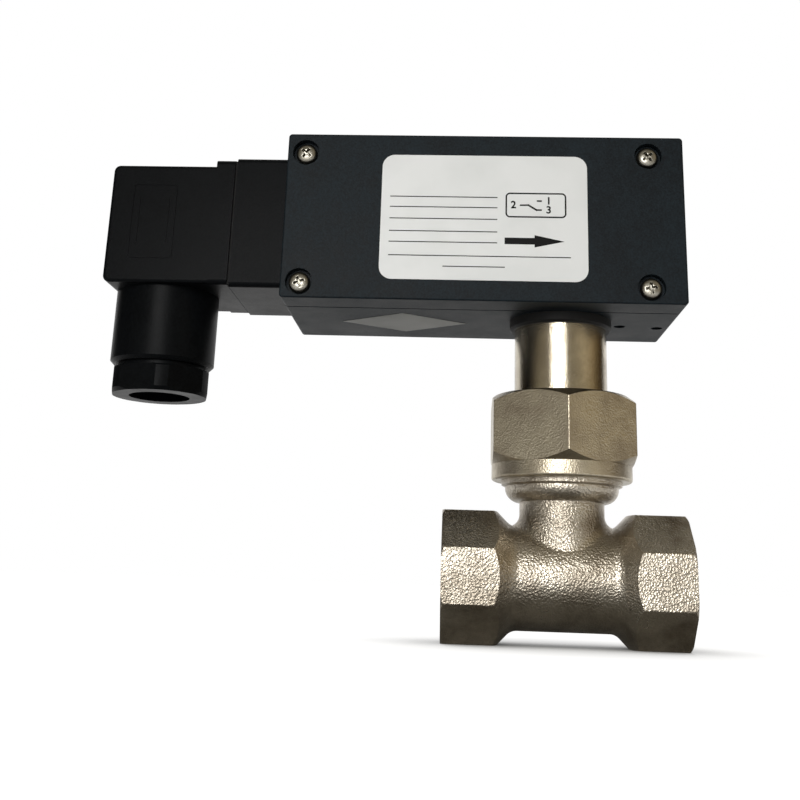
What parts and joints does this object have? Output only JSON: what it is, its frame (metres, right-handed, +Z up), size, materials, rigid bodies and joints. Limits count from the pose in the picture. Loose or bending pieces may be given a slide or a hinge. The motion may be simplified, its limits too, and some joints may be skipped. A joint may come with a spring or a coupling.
{
  "type": "paddle flow switch",
  "caption": "Paddle flow switch: black box head with right-angle connector plug, union nut and nickel-plated brass tee with octagonal female ends.",
  "frame": {"origin": "centre of the tee's inlet face, on the pipe axis", "axes": "+X along the flow, +Z up the stem towards the housing, -Y towards the housing's cover"},
  "size_m": [0.1299, 0.0376, 0.1091],
  "materials": {
    "nickel_plated_brass": "nickel plated over forged brass, grainy",
    "bright_nickel": "nickel plated, polished",
    "black_abs": "moulded black ABS with a slight sheen",
    "black_nylon": "moulded black glass-filled nylon",
    "steel": "bright stainless steel",
    "brass": "turned brass",
    "black_rubber": "black nitrile rubber",
    "switch_case_plastic": "moulded thermoset",
    "wire_brown": "PVC insulation",
    "wire_blue": "PVC insulation",
    "wire_black": "PVC insulation",
    "wire_green_yellow": "PVC insulation"
  },
  "bodies": {
    "switch_head": {"tee_body": "nickel_plated_brass", "union_gasket": "black_rubber", "stem_tube": "bright_nickel", "stem_seal": "black_rubber", "lock_nut": "steel", "bellows": "brass", "bellows_flange": "brass", "pivot_pin": "steel", "pin_clip": "steel", "pivot_spacers": "brass", "mechanism_frame": "steel", "microswitch_case": "switch_case_plastic", "microswitch_terminals": "brass", "switch_screws": "steel", "range_spring": "steel", "housing_base": "black_abs", "cover_gasket": "black_rubber", "housing_cover": "black_abs", "cover_screws": "steel", "din_base": "black_nylon", "din_base_gasket": "black_rubber", "din_base_screws": "steel", "din_pins": "brass", "wire_open": "wire_brown", "wire_closed": "wire_blue", "wire_common": "wire_black", "wire_earth": "wire_green_yellow"},
    "union_nut": {"union_nut": "nickel_plated_brass"},
    "paddle_arm": {"lever_rod": "steel", "paddle": "steel", "paddle_rivets": "steel", "switch_lever": "brass", "bellows_cap": "brass"},
    "plunger": {"microswitch_plunger": "switch_case_plastic"},
    "adjusting_screw": {"adjusting_screw": "steel", "adjuster_clip": "steel"},
    "spring_seat": {"spring_seat": "brass"},
    "plug": {"plug_gasket": "black_rubber", "plug_housing": "black_nylon", "plug_insert": "black_nylon", "plug_sockets": "brass", "socket_screws": "steel", "plug_screw_seal": "black_rubber", "gland_washer": "steel", "gland_seal": "black_rubber"},
    "plug_screw": {"plug_screw": "steel"},
    "gland_nut": {"gland_nut": "black_nylon"}
  },
  "joints": [
    {"name": "union_nut_turn", "type": "hinge", "parent": "switch_head", "child": "union_nut", "pos_m": [0.0261, 0, 0.03], "axis": [0, 0, 1], "continuous": true},
    {"name": "paddle_swing", "type": "hinge", "parent": "switch_head", "child": "paddle_arm", "pos_m": [0.0261, 0, 0.07], "axis": [0, -1, 0], "range_deg": [0, 5], "stiffness_Nm_per_rad": 0.3, "springref_deg": -6.88, "deforming": ["range_spring", "bellows"]},
    {"name": "plunger_travel", "type": "slide", "parent": "switch_head", "child": "plunger", "axis": [-1, 0, 0], "range_m": [0, 0.0011]},
    {"name": "adjusting_screw_turn", "type": "hinge", "parent": "switch_head", "child": "adjusting_screw", "pos_m": [0.0361, 0, 0.089], "axis": [0, 0, 1], "range_deg": [0, 1470]},
    {"name": "spring_seat_travel", "type": "slide", "parent": "switch_head", "child": "spring_seat", "axis": [0, 0, -1], "range_m": [0, 0.002], "deforming": ["range_spring"]},
    {"name": "plug_pull", "type": "slide", "parent": "switch_head", "child": "plug", "axis": [-1, 0, 0], "range_m": [0, 0.015]},
    {"name": "plug_screw_turn", "type": "hinge", "parent": "plug", "child": "plug_screw", "pos_m": [-0.0639, 0, 0.0759], "axis": [1, 0, 0], "continuous": true},
    {"name": "gland_nut_turn", "type": "hinge", "parent": "plug", "child": "gland_nut", "pos_m": [-0.0658, 0, 0.04], "axis": [0, 0, 1], "continuous": true}
  ],
  "couplings": [
    {"joint": "plunger_travel", "follows": "paddle_swing", "m_per_rad": 0.012},
    {"joint": "adjusting_screw_turn", "follows": "spring_seat_travel", "rad_per_m": 12566}
  ]
}
